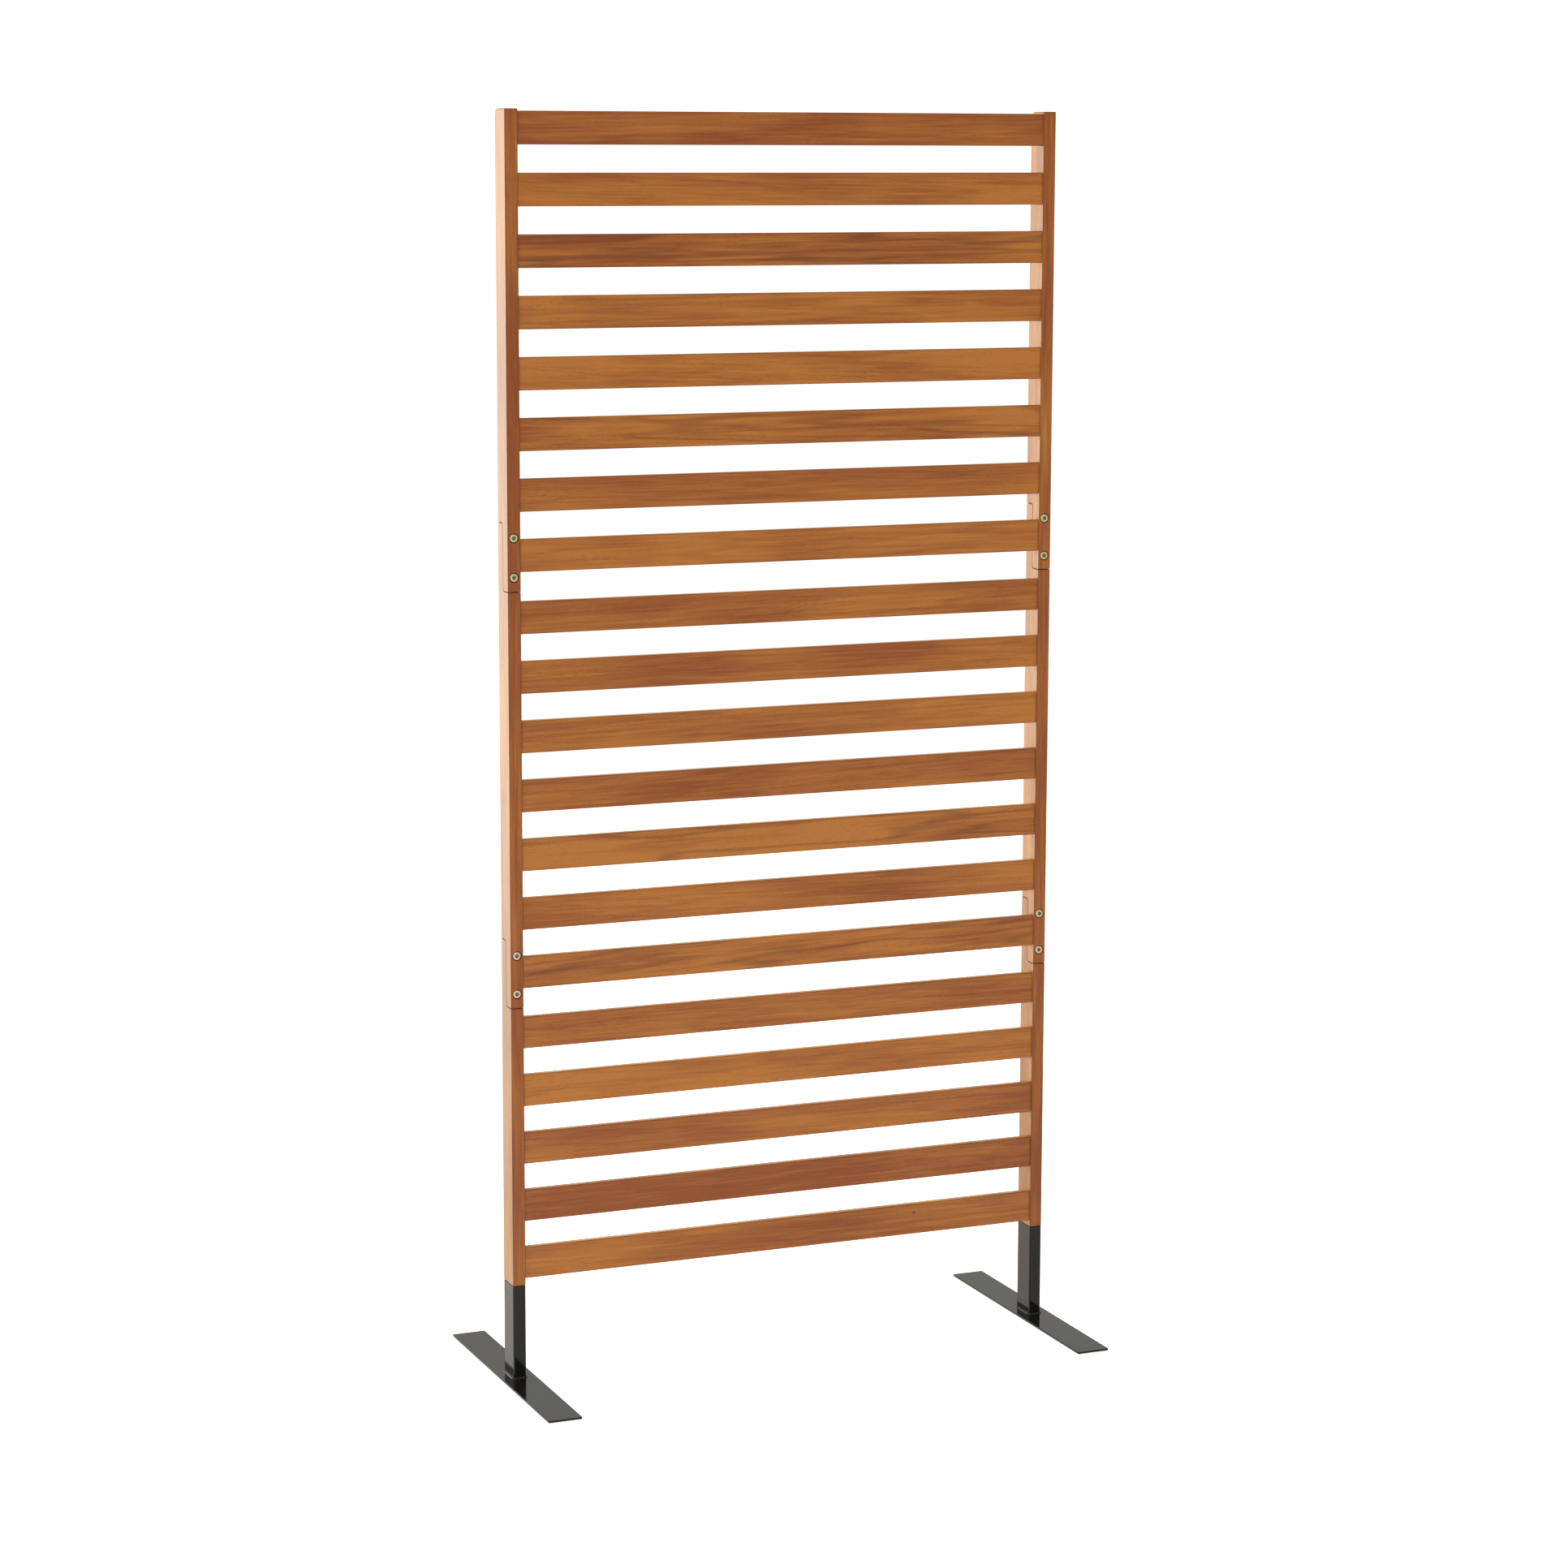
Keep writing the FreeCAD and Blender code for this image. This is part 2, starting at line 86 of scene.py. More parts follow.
def outlines(half_u, half_v, corner, steps=7):
    """Rounded rectangles, one per entry of the arrays. Each corner's centre lies one radius in from
    both sides, and a quarter circle of that radius runs round it."""
    sizes = [np.atleast_1d(size).astype(float) for size in (half_u, half_v, corner)]
    half_u, half_v, corner = (size[:, None, None] for size in np.broadcast_arrays(*sizes))
    turn = np.linspace(0, np.pi / 2, steps) + np.arange(4)[:, None] * np.pi / 2
    side_u = np.array([1, -1, -1, 1])[:, None]
    side_v = np.array([1, 1, -1, -1])[:, None]
    u = side_u * (half_u - corner) + corner * np.cos(turn)
    v = side_v * (half_v - corner) + corner * np.sin(turn)
    return np.stack([u, v], -1).reshape(len(u), -1, 2)


def stacked(rings, rise):
    """Flat rings in X and Y, each lifted to its own height."""
    height = np.broadcast_to(rise[:, None, None], (*rings.shape[:2], 1))
    return np.concatenate([rings, height], -1)


def skin(rings, loop=False):
    """Faces over rings of points: quads between neighbouring rings, each ring closed on itself. The
    last ring joins the first in a loop; otherwise one flat face shuts each end."""
    count, size = rings.shape[:2]
    index = np.arange(count * size).reshape(count, size)
    after = np.roll(index, -1, axis=0)
    near, far = (index, after) if loop else (index[:-1], after[:-1])
    quads = np.stack([near, np.roll(near, -1, axis=1), np.roll(far, -1, axis=1), far], -1)
    ends = [] if loop else [index[0][::-1].tolist(), index[-1].tolist()]
    return quads.reshape(-1, 4).tolist() + ends


def new_piece(name, points, faces, material, slot, *nodes):
    """A closed mesh with its normals outwards, soft over small angles, that stands for CAD nodes."""
    mesh = bpy.data.meshes.new(name)
    mesh.from_pydata(points.reshape(-1, 3).tolist(), [], faces)
    shell = bmesh.new()
    shell.from_mesh(mesh)
    bmesh.ops.recalc_face_normals(shell, faces=shell.faces)
    shell.to_mesh(mesh)
    shell.free()
    mesh.shade_smooth()
    mesh.set_sharp_from_angle(angle=SOFT_ANGLE)
    mesh.materials.append(material)
    made = bpy.data.objects.new(name, mesh)
    bpy.context.scene.collection.objects.link(made)
    made.modifiers.new("flat faces stay flat", "WEIGHTED_NORMAL").keep_sharp = True
    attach(made, "root")
    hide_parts(*nodes)
    return made


# Baked black powder on steel: a deep black film with a semi-gloss skin. It mirrors what stands
# near it a little softly, has the faint orange peel of melted powder, and a trace of grey dust.
powder_coat, tree = new_tree("black_powder_coat")
place = put(tree, "TexCoord", {}).outputs["Object"]
peel = put(tree, "TexNoise", {"Vector": place, "Scale": 1 / PEEL_SIZE, "Detail": 1.0}).outputs["Fac"]
dust = put(tree, "TexNoise", {"Vector": place, "Scale": 1 / DUST_SIZE, "Detail": 5.0,
                              "Roughness": 0.65}).outputs["Fac"]
film = put(tree, "Mix", {"Factor": dust, "A": linear(COAT_BLACK), "B": linear(COAT_DUST)}, data_type="RGBA")
gloss = put(tree, "MapRange", {"Value": dust, "From Min": 0.3, "From Max": 0.7, "To Min": 0.07,
                               "To Max": 0.11}).outputs["Result"]
relief = put(tree, "Bump", {"Height": peel, "Strength": 0.12, "Distance": PEEL_HEIGHT})
shade = put(tree, "BsdfPrincipled", {"Base Color": film.outputs["Result"], "Roughness": gloss, "IOR": 1.5,
                                     "Normal": relief.outputs["Normal"]})
put(tree, "OutputMaterial", {"Surface": shade.outputs["BSDF"]})

# a quarter circle in steps, which rounds every rim and shoulder
bend = np.linspace(0, np.pi / 2, RIM_STEPS)
for side in ("left", "right"):
    low, high = (np.array(corner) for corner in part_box(f"foot_plate_{side}"))
    middle, half = (low + high) / 2, (high - low) / 2
    inset = PLATE_RIM * np.concatenate([1 - np.sin(bend), 1 - np.cos(bend)])
    rise = np.concatenate([low[2] + PLATE_RIM * (1 - np.cos(bend)), high[2] - PLATE_RIM * (1 - np.sin(bend))])
    rings = outlines(half[0] - inset, half[1] - inset, PLATE_CORNER - inset) + middle[:2]
    points = stacked(rings, rise)
    new_piece(f"steel_foot_plate_{side}", points, skin(points), powder_coat, "black_powder_coat",
              f"foot_plate_{side}")

# Foot uprights: short lengths of rectangular steel tube, as wide and deep as the posts.
# Each stands on its plate with an open top, into which the foot of the post slides, and its rim
# stays a hair below the shoulder of the post, which shows as a fine dark line.
TUBE_CORNER = 2 * MM
TUBE_WALL = 1.5 * MM
TUBE_RIM = 0.6 * MM
RIM_GAP = 0.6 * MM

for side in ("left", "right"):
    low, high = (np.array(corner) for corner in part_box(f"foot_upright_{side}"))
    middle, half = (low + high) / 2, (high - low) / 2
    top = high[2] - RIM_GAP
    outer, inner = TUBE_RIM * (1 - np.cos(bend)), TUBE_WALL - TUBE_RIM * (1 - np.sin(bend))
    inset = np.concatenate([[0], outer, inner, [TUBE_WALL]])
    rise = np.concatenate([[low[2]], top - TUBE_RIM * (1 - np.sin(bend)), top - TUBE_RIM * (1 - np.cos(bend)),
                           [low[2]]])
    rings = outlines(half[0] - inset, half[1] - inset, TUBE_CORNER - inset) + middle[:2]
    points = stacked(rings, rise)
    new_piece(f"steel_foot_upright_{side}", points, skin(points, loop=True), powder_coat, "black_powder_coat",
              f"foot_upright_{side}")

# Foot welds: one fillet bead run by hand round the foot of each tube, coated with the foot.
# Its face is nearly flat and lies in small crescents, as the weld pool froze step by step.
WELD_LEG = 2.6 * MM
RIPPLE_PITCH = 2.3 * MM
RIPPLE_DEPTH = 0.1 * MM
# the mean leg, its wobble and the bulge of the face as shares of the leg above; the mean depth of the
# ripples, and how it swells, as shares of the depth above; their lag in radians
LEG_MEAN = 0.92
LEG_WOBBLE = 0.04
WELD_PLUMP = 0.14
RIPPLE_MEAN = 0.8
RIPPLE_SWELL = 0.3
SWELLS_PER_LAP = 7
RIPPLE_LAG = 1.2
RUN_STEPS = 480
FACE_STEPS = 9

for side in ("left", "right"):
    low, high = (np.array(corner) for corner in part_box(f"foot_upright_{side}"))
    middle, half = (low + high) / 2, (high - low) / 2
    corners = outlines(half[0], half[1], TUBE_CORNER)[0]
    corners = np.concatenate([corners, corners[:1]])
    reached = np.concatenate([[0], np.cumsum(np.linalg.norm(np.diff(corners, axis=0), axis=1))])
    run = np.linspace(0, reached[-1], RUN_STEPS, endpoint=False)
    path = np.stack([np.interp(run, reached, corners[:, axis]) for axis in (0, 1)], -1)
    ahead = np.roll(path, -2, axis=0) - np.roll(path, 2, axis=0)
    away = np.stack([ahead[:, 1], -ahead[:, 0]], -1) / np.linalg.norm(ahead, axis=1, keepdims=True)
    # the hand wobbles twice and three times a lap, which takes up to a sixth off the leg
    lap = 2 * np.pi * run / reached[-1]
    wobble = np.sin(2 * lap + 2) + np.sin(3 * lap)
    leg = WELD_LEG * (LEG_MEAN + LEG_WOBBLE * wobble)
    # the face's distance from the corner that it fills: a straight slope, a little plump in the middle,
    # with ripples that lag behind towards both toes
    swing = np.linspace(0, np.pi / 2, FACE_STEPS)[:, None]
    bulge = np.sin(2 * swing)
    ripples = np.round(reached[-1] / RIPPLE_PITCH)
    swell = RIPPLE_MEAN + RIPPLE_SWELL * np.sin(SWELLS_PER_LAP * lap)
    ripple = np.sin(ripples * lap / 2 + RIPPLE_LAG * bulge + wobble) ** 2 * swell
    slope = leg / (np.cos(swing) + np.sin(swing))
    face = slope + (WELD_PLUMP * leg + RIPPLE_DEPTH * ripple * bulge) * bulge
    out = np.concatenate([face * np.cos(swing), np.zeros((1, len(run)))])
    up = np.concatenate([face * np.sin(swing), np.zeros((1, len(run)))])
    flat = middle[:2] + path + away * out[..., None]
    points = np.concatenate([flat, low[2] + up[..., None]], -1)
    new_piece(f"weld_bead_{side}", points, skin(points, loop=True), powder_coat, "black_powder_coat",
              f"foot_weld_{side}")

# Posts: planed hardwood in three lengths a side, joined by half laps, with mortises for the slats.
# The solids have the laps, counterbores and mortises; here every sharp corner is sanded round.
SANDED = 0.8 * MM
# square corners and planed bevels fold by more than this many degrees; shares are of the full rounding
SQUARE_FOLD = 60
BEVEL_FOLD = 25
BEVEL_SHARE = 0.4
HOLE_SHARE = 0.3
HOLE_REACH = 7.5 * MM
HOLE_CHORD = 1.3 * MM
WOOD_HONEY = "ce8233"
WOOD_BROWN = "a1541f"
WOOD_DARK_AND_EDGE_SHADE = "6a3413"
PORE_BROWN = "5a2c10"
# a paler, yellower copy of the wood for the boards' sides: painted light, for the light and sheen they catch
LIT_SIDE_HONEY = "da9e4c"
LIT_SIDE_BROWN = "b07632"
LIT_SIDE_SHARE = 0.8
RING_WIDTH = 13 * MM
RING_SWAY = 45 * MM
RING_SHARE = 0.2
CLOUD_SHARE = 2.0
STREAK_SHARE = 1.3
FIBRE_SHARE = 0.9
FIGURE_START = -1.26
VEIN_LEVEL = 0.54
KNOT_CELLS_PER_METRE = (4.5, 9, 9)
# how dark the sanded corners are painted: painted shade along edges and seams
EDGE_SHADE_PAINTED = 0.7
# lightness of the six lengths, and how much of the figure they show
POST_TONES = {"left": {"lower": -0.35, "middle": -0.3, "upper": -0.45},
              "right": {"lower": -0.4, "middle": -0.2, "upper": -0.3}}
POST_FIGURE = 0.5
# place in the log: metres along it, how many millimetres its heart lies beside the length and behind
# it, and how far it leans away per metre
POST_ALONG = (0, 40)
POST_BESIDE = (-25, 25)
POST_BEHIND = (30, 70)
POST_LEAN = (-0.015, 0.015)
rng = np.random.default_rng(20)


def lay_grain(mesh, box, along, across, heart, lean, tone):
    """Gives a board its place in the log. The attribute heart holds, for each point, how far it lies
    along the log and how far from its middle in the two other directions; the log leans a little
    over the board's length. The attribute tone holds the board's lightness and its share of figure;
    from_low and from_high hold each point's distance from the long faces."""
    co = np.empty(len(mesh.vertices) * 3, np.float32)
    mesh.vertices.foreach_get("co", co)
    co = co.reshape(-1, 3)
    run = co[:, along]
    grain = np.stack([run + heart[0], co[:, across] - heart[1] - lean[0] * run,
                      co[:, 3 - along - across] - heart[2] - lean[1] * run], -1)
    sides = np.arange(3) != along
    for name, rows in (("heart", grain), ("tone", np.broadcast_to((*tone, 0), co.shape)),
                       ("from_low", (co - box[0]) * sides), ("from_high", (box[1] - co) * sides)):
        rows = rows.astype(np.float32).ravel()
        mesh.attributes.new(name, "FLOAT_VECTOR", "POINT").data.foreach_set("vector", rows)


# Oiled hardwood, planed and sanded: honey to red brown in long soft clouds, faint growth bands, short
# dark pore lines in places and a pin knot here and there; the boards' sides are painted paler and yellower as
# painted light. A satin oil lights up at a slant, and its edges are darkened with painted shade.
hardwood, tree = new_tree("oiled_hardwood")
heart = put(tree, "Attribute", {}, attribute_name="heart").outputs["Vector"]
tone = put(tree, "Attribute", {}, attribute_name="tone").outputs["Vector"]
tone = put(tree, "SeparateXYZ", {"Vector": tone}).outputs
# noise drawn out along the grain: length and width of its features in millimetres, and detail;
# pores are a fifth of a millimetre wide in life, and drawn over half a millimetre wide to show
layers = {}
for layer, length, width, detail in (
        ("cloud", 260, 60, 1.0), ("sway", 380, 40, 1.5), ("streak", 150, 4, 2.0), ("fibre", 45, 1.7, 2.0),
        ("pore", 9, 0.6, 0.0), ("pore_area", 110, 26, 1.0), ("vein", 330, 21, 1.5)):
    stretch = (1 / length / MM, 1 / width / MM, 1 / width / MM)
    drawn = put(tree, "VectorMath", {0: heart, 1: stretch}, operation="MULTIPLY").outputs[0]
    layers[layer] = put(tree, "TexNoise", {"Vector": drawn, "Scale": 1.0, "Detail": detail}).outputs["Fac"]
# growth bands: a sine of the distance from the log's middle, bent by the sway
flat = put(tree, "VectorMath", {0: heart, 1: (0, 1, 1)}, operation="MULTIPLY").outputs[0]
radius = put(tree, "VectorMath", {0: flat}, operation="LENGTH").outputs["Value"]
bent = put(tree, "Math", {0: layers["sway"], 1: RING_SWAY, 2: radius}, operation="MULTIPLY_ADD").outputs[0]
turns = put(tree, "Math", {0: bent, 1: 2 * np.pi / RING_WIDTH}, operation="MULTIPLY").outputs[0]
bands = put(tree, "Math", {0: turns}, operation="SINE").outputs[0]
bands = put(tree, "Math", {0: bands, 1: tone["Y"]}, operation="MULTIPLY").outputs[0]
# lightness: the board's own, with clouds, growth bands, streaks and fibres added by their shares
figure = put(tree, "Math", {0: tone["X"], 1: FIGURE_START}, operation="ADD").outputs[0]
for part, share in ((layers["cloud"], CLOUD_SHARE), (bands, RING_SHARE), (layers["streak"], STREAK_SHARE),
                    (layers["fibre"], FIBRE_SHARE)):
    figure = put(tree, "Math", {0: part, 1: share, 2: figure}, operation="MULTIPLY_ADD").outputs[0]
light = put(tree, "MapRange", {"Value": figure, "From Min": 0.25, "From Max": 1.35}).outputs["Result"]
# a post's sides face along X and a slat's along Z, and the other of the two distances is zero
from_low, from_high = (put(tree, "Attribute", {}, attribute_name=name).outputs["Vector"]
                       for name in ("from_low", "from_high"))
inset = put(tree, "VectorMath", {0: from_low, 1: from_high}, operation="MINIMUM").outputs[0]
inset = put(tree, "SeparateXYZ", {"Vector": inset}).outputs
from_side = put(tree, "Math", {0: inset["X"], 1: inset["Z"]}, operation="MAXIMUM").outputs[0]
from_edge = put(tree, "Math", {0: from_side, 1: inset["Y"]}, operation="MAXIMUM").outputs[0]
# painted light: the sides, a post's X faces and a slat's top and bottom, take the paler, yellower lit copy
lit_side = put(tree, "MapRange", {"Value": from_side, "From Min": 0.05 * MM, "From Max": 0.4 * MM,
                                 "To Min": LIT_SIDE_SHARE, "To Max": 0.0}).outputs["Result"]
front_wood, lit_side_wood = (
    put(tree, "Mix", {"Factor": light, "A": linear(dark), "B": linear(pale)},
        data_type="RGBA").outputs["Result"]
    for dark, pale in ((WOOD_BROWN, WOOD_HONEY), (LIT_SIDE_BROWN, LIT_SIDE_HONEY)))
# veins lie where their noise crosses one level, pores crowd in some areas, and knots are rare dots
vein = put(tree, "Math", {0: layers["vein"], 1: VEIN_LEVEL}, operation="SUBTRACT").outputs[0]
vein = put(tree, "Math", {0: vein}, operation="ABSOLUTE").outputs[0]
vein = put(tree, "MapRange", {"Value": vein, "From Min": 0.0, "From Max": 0.07, "To Min": 0.38,
                              "To Max": 0.0}, interpolation_type="SMOOTHSTEP").outputs["Result"]
vein = put(tree, "Math", {0: vein, 1: tone["Y"]}, operation="MULTIPLY").outputs[0]
dense = put(tree, "MapRange", {"Value": layers["pore_area"], "From Min": 0.4, "From Max": 0.7,
                               "To Min": 0.08, "To Max": 0.4}).outputs["Result"]
pores = put(tree, "MapRange", {"Value": layers["pore"], "From Min": 0.62, "From Max": 0.74}).outputs["Result"]
pores = put(tree, "Math", {0: pores, 1: dense}, operation="MULTIPLY").outputs[0]
spot = put(tree, "VectorMath", {0: heart, 1: KNOT_CELLS_PER_METRE}, operation="MULTIPLY").outputs[0]
spot = put(tree, "TexVoronoi", {"Vector": spot, "Scale": 1.0}).outputs["Distance"]
knot = put(tree, "MapRange", {"Value": spot, "From Min": 0.012, "From Max": 0.02, "To Min": 0.8,
                              "To Max": 0.0}).outputs["Result"]
# painted shade: the wood darkens within a millimetre or two of its long edges
painted_edge_shade = put(tree, "MapRange", {"Value": from_edge, "From Min": 0.5 * MM, "From Max": 1.7 * MM, "To Min": 0.5,
                                "To Max": 0.0}, interpolation_type="SMOOTHSTEP", name="painted_edge_shade")
body = front_wood
for share, colour in ((lit_side, lit_side_wood), (vein, linear(WOOD_DARK_AND_EDGE_SHADE)), (pores, linear(PORE_BROWN)),
                      (knot, linear(PORE_BROWN)), (painted_edge_shade.outputs["Result"], linear(WOOD_DARK_AND_EDGE_SHADE))):
    body = put(tree, "Mix", {"Factor": share, "A": body, "B": colour}, data_type="RGBA").outputs["Result"]
sheen = put(tree, "MapRange", {"Value": layers["fibre"], "From Min": 0.3, "From Max": 0.7, "To Min": 0.28,
                               "To Max": 0.38}).outputs["Result"]
relief = put(tree, "Bump", {"Height": layers["fibre"], "Strength": 0.15, "Distance": 0.06 * MM})
shade = put(tree, "BsdfPrincipled", {"Base Color": body, "Roughness": sheen, "IOR": 1.5, "Coat Weight": 0.3,
                                     "Coat Roughness": 0.25, "Normal": relief.outputs["Normal"]})
put(tree, "OutputMaterial", {"Surface": shade.outputs["BSDF"]})
# the same wood where it is all edge: the sanded corners take the darkening in full, painted shade that draws
# dark lines along edges and lap seams
edge_wood = hardwood.copy()
edge_wood.name = "oiled_hardwood_edge"
edge_wood.node_tree.nodes["painted_edge_shade"].inputs["To Max"].default_value = EDGE_SHADE_PAINTED

for side in ("left", "right"):
    for section in ("lower", "middle", "upper"):
        node = f"post_{side}_{section}"
        low, high = (np.array(corner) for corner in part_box(node))
        middle_x = (low[0] + high[0]) / 2
        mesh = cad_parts[node].data.copy()
        mesh.name = f"hardwood_{node}"
        shell = bmesh.new()
        shell.from_mesh(mesh)
        bmesh.ops.remove_doubles(shell, verts=shell.verts, dist=0.001 * MM)
        bmesh.ops.dissolve_limit(shell, angle_limit=np.radians(1), verts=shell.verts, edges=shell.edges)
        shell.normal_update()
        fold = np.degrees([edge.calc_face_angle_signed(0.0) for edge in shell.edges])
        shell.to_mesh(mesh)
        shell.free()
        mesh.materials.clear()
        mesh.materials.append(hardwood)
        mesh.materials.append(edge_wood)
        # outer square corners are sanded round, those along the planed bevels less, and least of all the
        # rims of the bolt holes, which are short edges near the middle of the post
        co = np.empty(len(mesh.vertices) * 3, np.float32)
        mesh.vertices.foreach_get("co", co)
        ends = np.empty(len(mesh.edges) * 2, np.int32)
        mesh.edges.foreach_get("vertices", ends)
        ends = co.reshape(-1, 3)[ends.reshape(-1, 2)]
        weight = np.select([fold > SQUARE_FOLD, fold > BEVEL_FOLD], [1.0, BEVEL_SHARE], 0.0)
        weight = weight.astype(np.float32)
        inside = np.abs(ends[..., 0].mean(1) - middle_x) < HOLE_REACH
        short = np.linalg.norm(ends[:, 1] - ends[:, 0], axis=1) < HOLE_CHORD
        weight[inside & short] *= HOLE_SHARE
        mesh.attributes.new("bevel_weight_edge", "FLOAT", "EDGE").data.foreach_set("value", weight)
        mesh.set_sharp_from_angle(angle=np.pi)
        mesh.shade_smooth()
        in_log = (rng.uniform(*POST_ALONG), middle_x + rng.uniform(*POST_BESIDE) * MM,
                  rng.uniform(*POST_BEHIND) * MM)
        lean = rng.uniform(*POST_LEAN, 2)
        lay_grain(mesh, (low, high), along=2, across=0, heart=in_log, lean=lean,
                  tone=(POST_TONES[side][section], POST_FIGURE))
        post = bpy.data.objects.new(f"hardwood_{node}", mesh)
        bpy.context.scene.collection.objects.link(post)
        eased = post.modifiers.new("sanded corners", "BEVEL")
        eased.width = SANDED
        eased.segments = 3
        eased.limit_method = "WEIGHT"
        eased.use_clamp_overlap = False
        eased.loop_slide = False
        # the sanded corners take the edge-shaded wood: painted shade along every edge and lap seam
        eased.material = 1
        post.modifiers.new("flat faces stay flat", "WEIGHTED_NORMAL")
        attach(post, "root")
        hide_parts(node)

# Foot screws: one black coach screw through the back of each tube into the post.
# A forged hexagon head, its top corners turned off to a cone.
SCREW_FLATS = 8 * MM
SCREW_SHANK = 5 * MM
SCREW_STEPS = 48
CROWN_SHARE = 1.06
CROWN_TOP = 0.93
CROWN_CONE = 0.9 * MM
CROWN_EDGE = 0.25 * MM
ZINC_BLACK = "1a1a1b"
ZINC_GREY = "3a3a3c"
BLACK_BLOOM = 3 * MM

# Black zinc on forged steel: nearly black, duller than the coat, a little grey in faint patches.
black_zinc, tree = new_tree("black_zinc_steel")
place = put(tree, "TexCoord", {}).outputs["Object"]
bloom = put(tree, "TexNoise", {"Vector": place, "Scale": 1 / BLACK_BLOOM, "Detail": 3.0}).outputs["Fac"]
tint = put(tree, "Mix", {"Factor": bloom, "A": linear(ZINC_BLACK), "B": linear(ZINC_GREY)}, data_type="RGBA")
shade = put(tree, "BsdfPrincipled", {"Base Color": tint.outputs["Result"], "Metallic": 0.6,
                                     "Roughness": 0.38})
put(tree, "OutputMaterial", {"Surface": shade.outputs["BSDF"]})


def hexagon(turn, flats):
    """Radius of a regular hexagon at each angle: half its width across flats over the cosine of the
    angle to the nearest flat's middle. One corner points to angle 0."""
    return flats / 2 / np.cos((turn % (np.pi / 3)) - np.pi / 6)


def turned(radii, depth, turn):
    """Rings round the Y axis: each row of radii, one per angle, at its own depth."""
    return np.stack([radii * np.cos(turn), np.broadcast_to(depth[:, None], radii.shape),
                     radii * np.sin(turn)], -1)


def repeated(faces, count, size):
    """The faces of equal bodies whose points follow each other in blocks of one size."""
    return [[index + size * block for index in face] for block in range(count) for face in faces]


low, high = (np.array(corner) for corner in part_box("foot_screws"))
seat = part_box("foot_upright_left")[1][1]
turn = np.linspace(0, 2 * np.pi, SCREW_STEPS, endpoint=False)
head = hexagon(turn + np.pi / 6, SCREW_FLATS)
shank = np.full_like(turn, SCREW_SHANK / 2)
crown = np.minimum(head, SCREW_FLATS / 2 * CROWN_SHARE)
radii = np.stack([shank, shank, head, head, crown, crown * CROWN_TOP])
depth = np.array([low[1], seat, seat, high[1] - CROWN_CONE, high[1] - CROWN_EDGE, high[1]])
ring = turned(radii, depth, turn)
level = (low[2] + high[2]) / 2
spots = np.array([[low[0] + SCREW_FLATS / 2, 0, level], [high[0] - SCREW_FLATS / 2, 0, level]])
points = ring[None] + spots[:, None, None]
faces = repeated(skin(ring), len(spots), radii.size)
new_piece("coach_screws", points, faces, black_zinc, "black_screw_steel", "foot_screws")

# Slats: twenty planed hardwood boards with rounded edges, each with a stub tenon at both ends.
# The tenons are glued into the posts, and every board is cut from another place in the log.
SLAT_ROUND = 1.6 * MM
SHOULDER_ROUND = 0.6 * MM
TENON_CHEEK = 2 * MM
TENON_SHOULDER = 8 * MM
TENON_LENGTH = 9 * MM
TENON_ARRIS = 0.3 * MM
# lightness of the boards from the top down: dark, middle or pale; and those with a lively figure
BOARDS = "dpmmppmpmmpmpmpmpmdm"
BOARD_TONES = {"d": -0.28, "m": 0.0, "p": 0.25}
LIVELY = (3, 6, 13, 15)
LIVELY_FIGURE = 1.0
CALM_FIGURE = 0.45
# place in the log, as for the posts, but with the heart in front of the board or behind it
SLAT_ALONG = (0, 60)
SLAT_BESIDE = (-45, 45)
SLAT_BEHIND = (18, 70)
SLAT_LEAN = (-0.03, 0.03)

for number, kind in enumerate(BOARDS, start=1):
    node = f"slat_{number:02d}"
    low, high = (np.array(corner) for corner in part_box(node))
    middle, half = (low + high) / 2, (high - low) / 2
    reach = half[0] - TENON_LENGTH
    pull = SHOULDER_ROUND * (1 - np.sin(bend))
    at = np.concatenate([[-half[0], -reach], -reach + SHOULDER_ROUND * (1 - np.cos(bend))])
    thick = half[1] - np.concatenate([[TENON_CHEEK] * 2, pull])
    tall = half[2] - np.concatenate([[TENON_SHOULDER] * 2, pull])
    corner = np.concatenate([[TENON_ARRIS] * 2, SLAT_ROUND - pull])
    both_ends = (np.concatenate([size, size[::-1]]) for size in (thick, tall, corner))
    rings = outlines(*both_ends) + middle[1:]
    at = np.concatenate([at, -at[::-1]]) + middle[0]
    points = np.concatenate([np.broadcast_to(at[:, None, None], (*rings.shape[:2], 1)), rings], -1)
    board = new_piece(f"hardwood_{node}", points, skin(points), hardwood, "slat_wood", node)
    in_log = (rng.uniform(*SLAT_ALONG), middle[2] + rng.uniform(*SLAT_BESIDE) * MM,
              rng.choice([-1, 1]) * rng.uniform(*SLAT_BEHIND) * MM)
    lean = rng.uniform(*SLAT_LEAN, 2)
    shown = LIVELY_FIGURE if number in LIVELY else CALM_FIGURE
    lay_grain(board.data, (low, high), along=0, across=2, heart=in_log, lean=lean,
              tone=(BOARD_TONES[kind], shown))

# Lap insert nuts: turned steel sleeves screwed into the rear tongues, out of sight behind the bolts.
# Bright zinc over machined steel: pale, metallic, with a faint bluish bloom.
ZINC_BLUE = "b9bcc0"
ZINC_PALE = "d2d0c6"
BRIGHT_BLOOM = 2 * MM

zinc, tree = new_tree("bright_zinc_steel")
place = put(tree, "TexCoord", {}).outputs["Object"]
bloom = put(tree, "TexNoise", {"Vector": place, "Scale": 1 / BRIGHT_BLOOM, "Detail": 3.0}).outputs["Fac"]
tint = put(tree, "Mix", {"Factor": bloom, "A": linear(ZINC_BLUE), "B": linear(ZINC_PALE)}, data_type="RGBA")
shade = put(tree, "BsdfPrincipled", {"Base Color": tint.outputs["Result"], "Metallic": 1.0, "Roughness": 0.3})
put(tree, "OutputMaterial", {"Surface": shade.outputs["BSDF"]})
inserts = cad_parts["lap_insert_nuts"].data.materials
for slot in range(len(inserts)):
    inserts[slot] = zinc

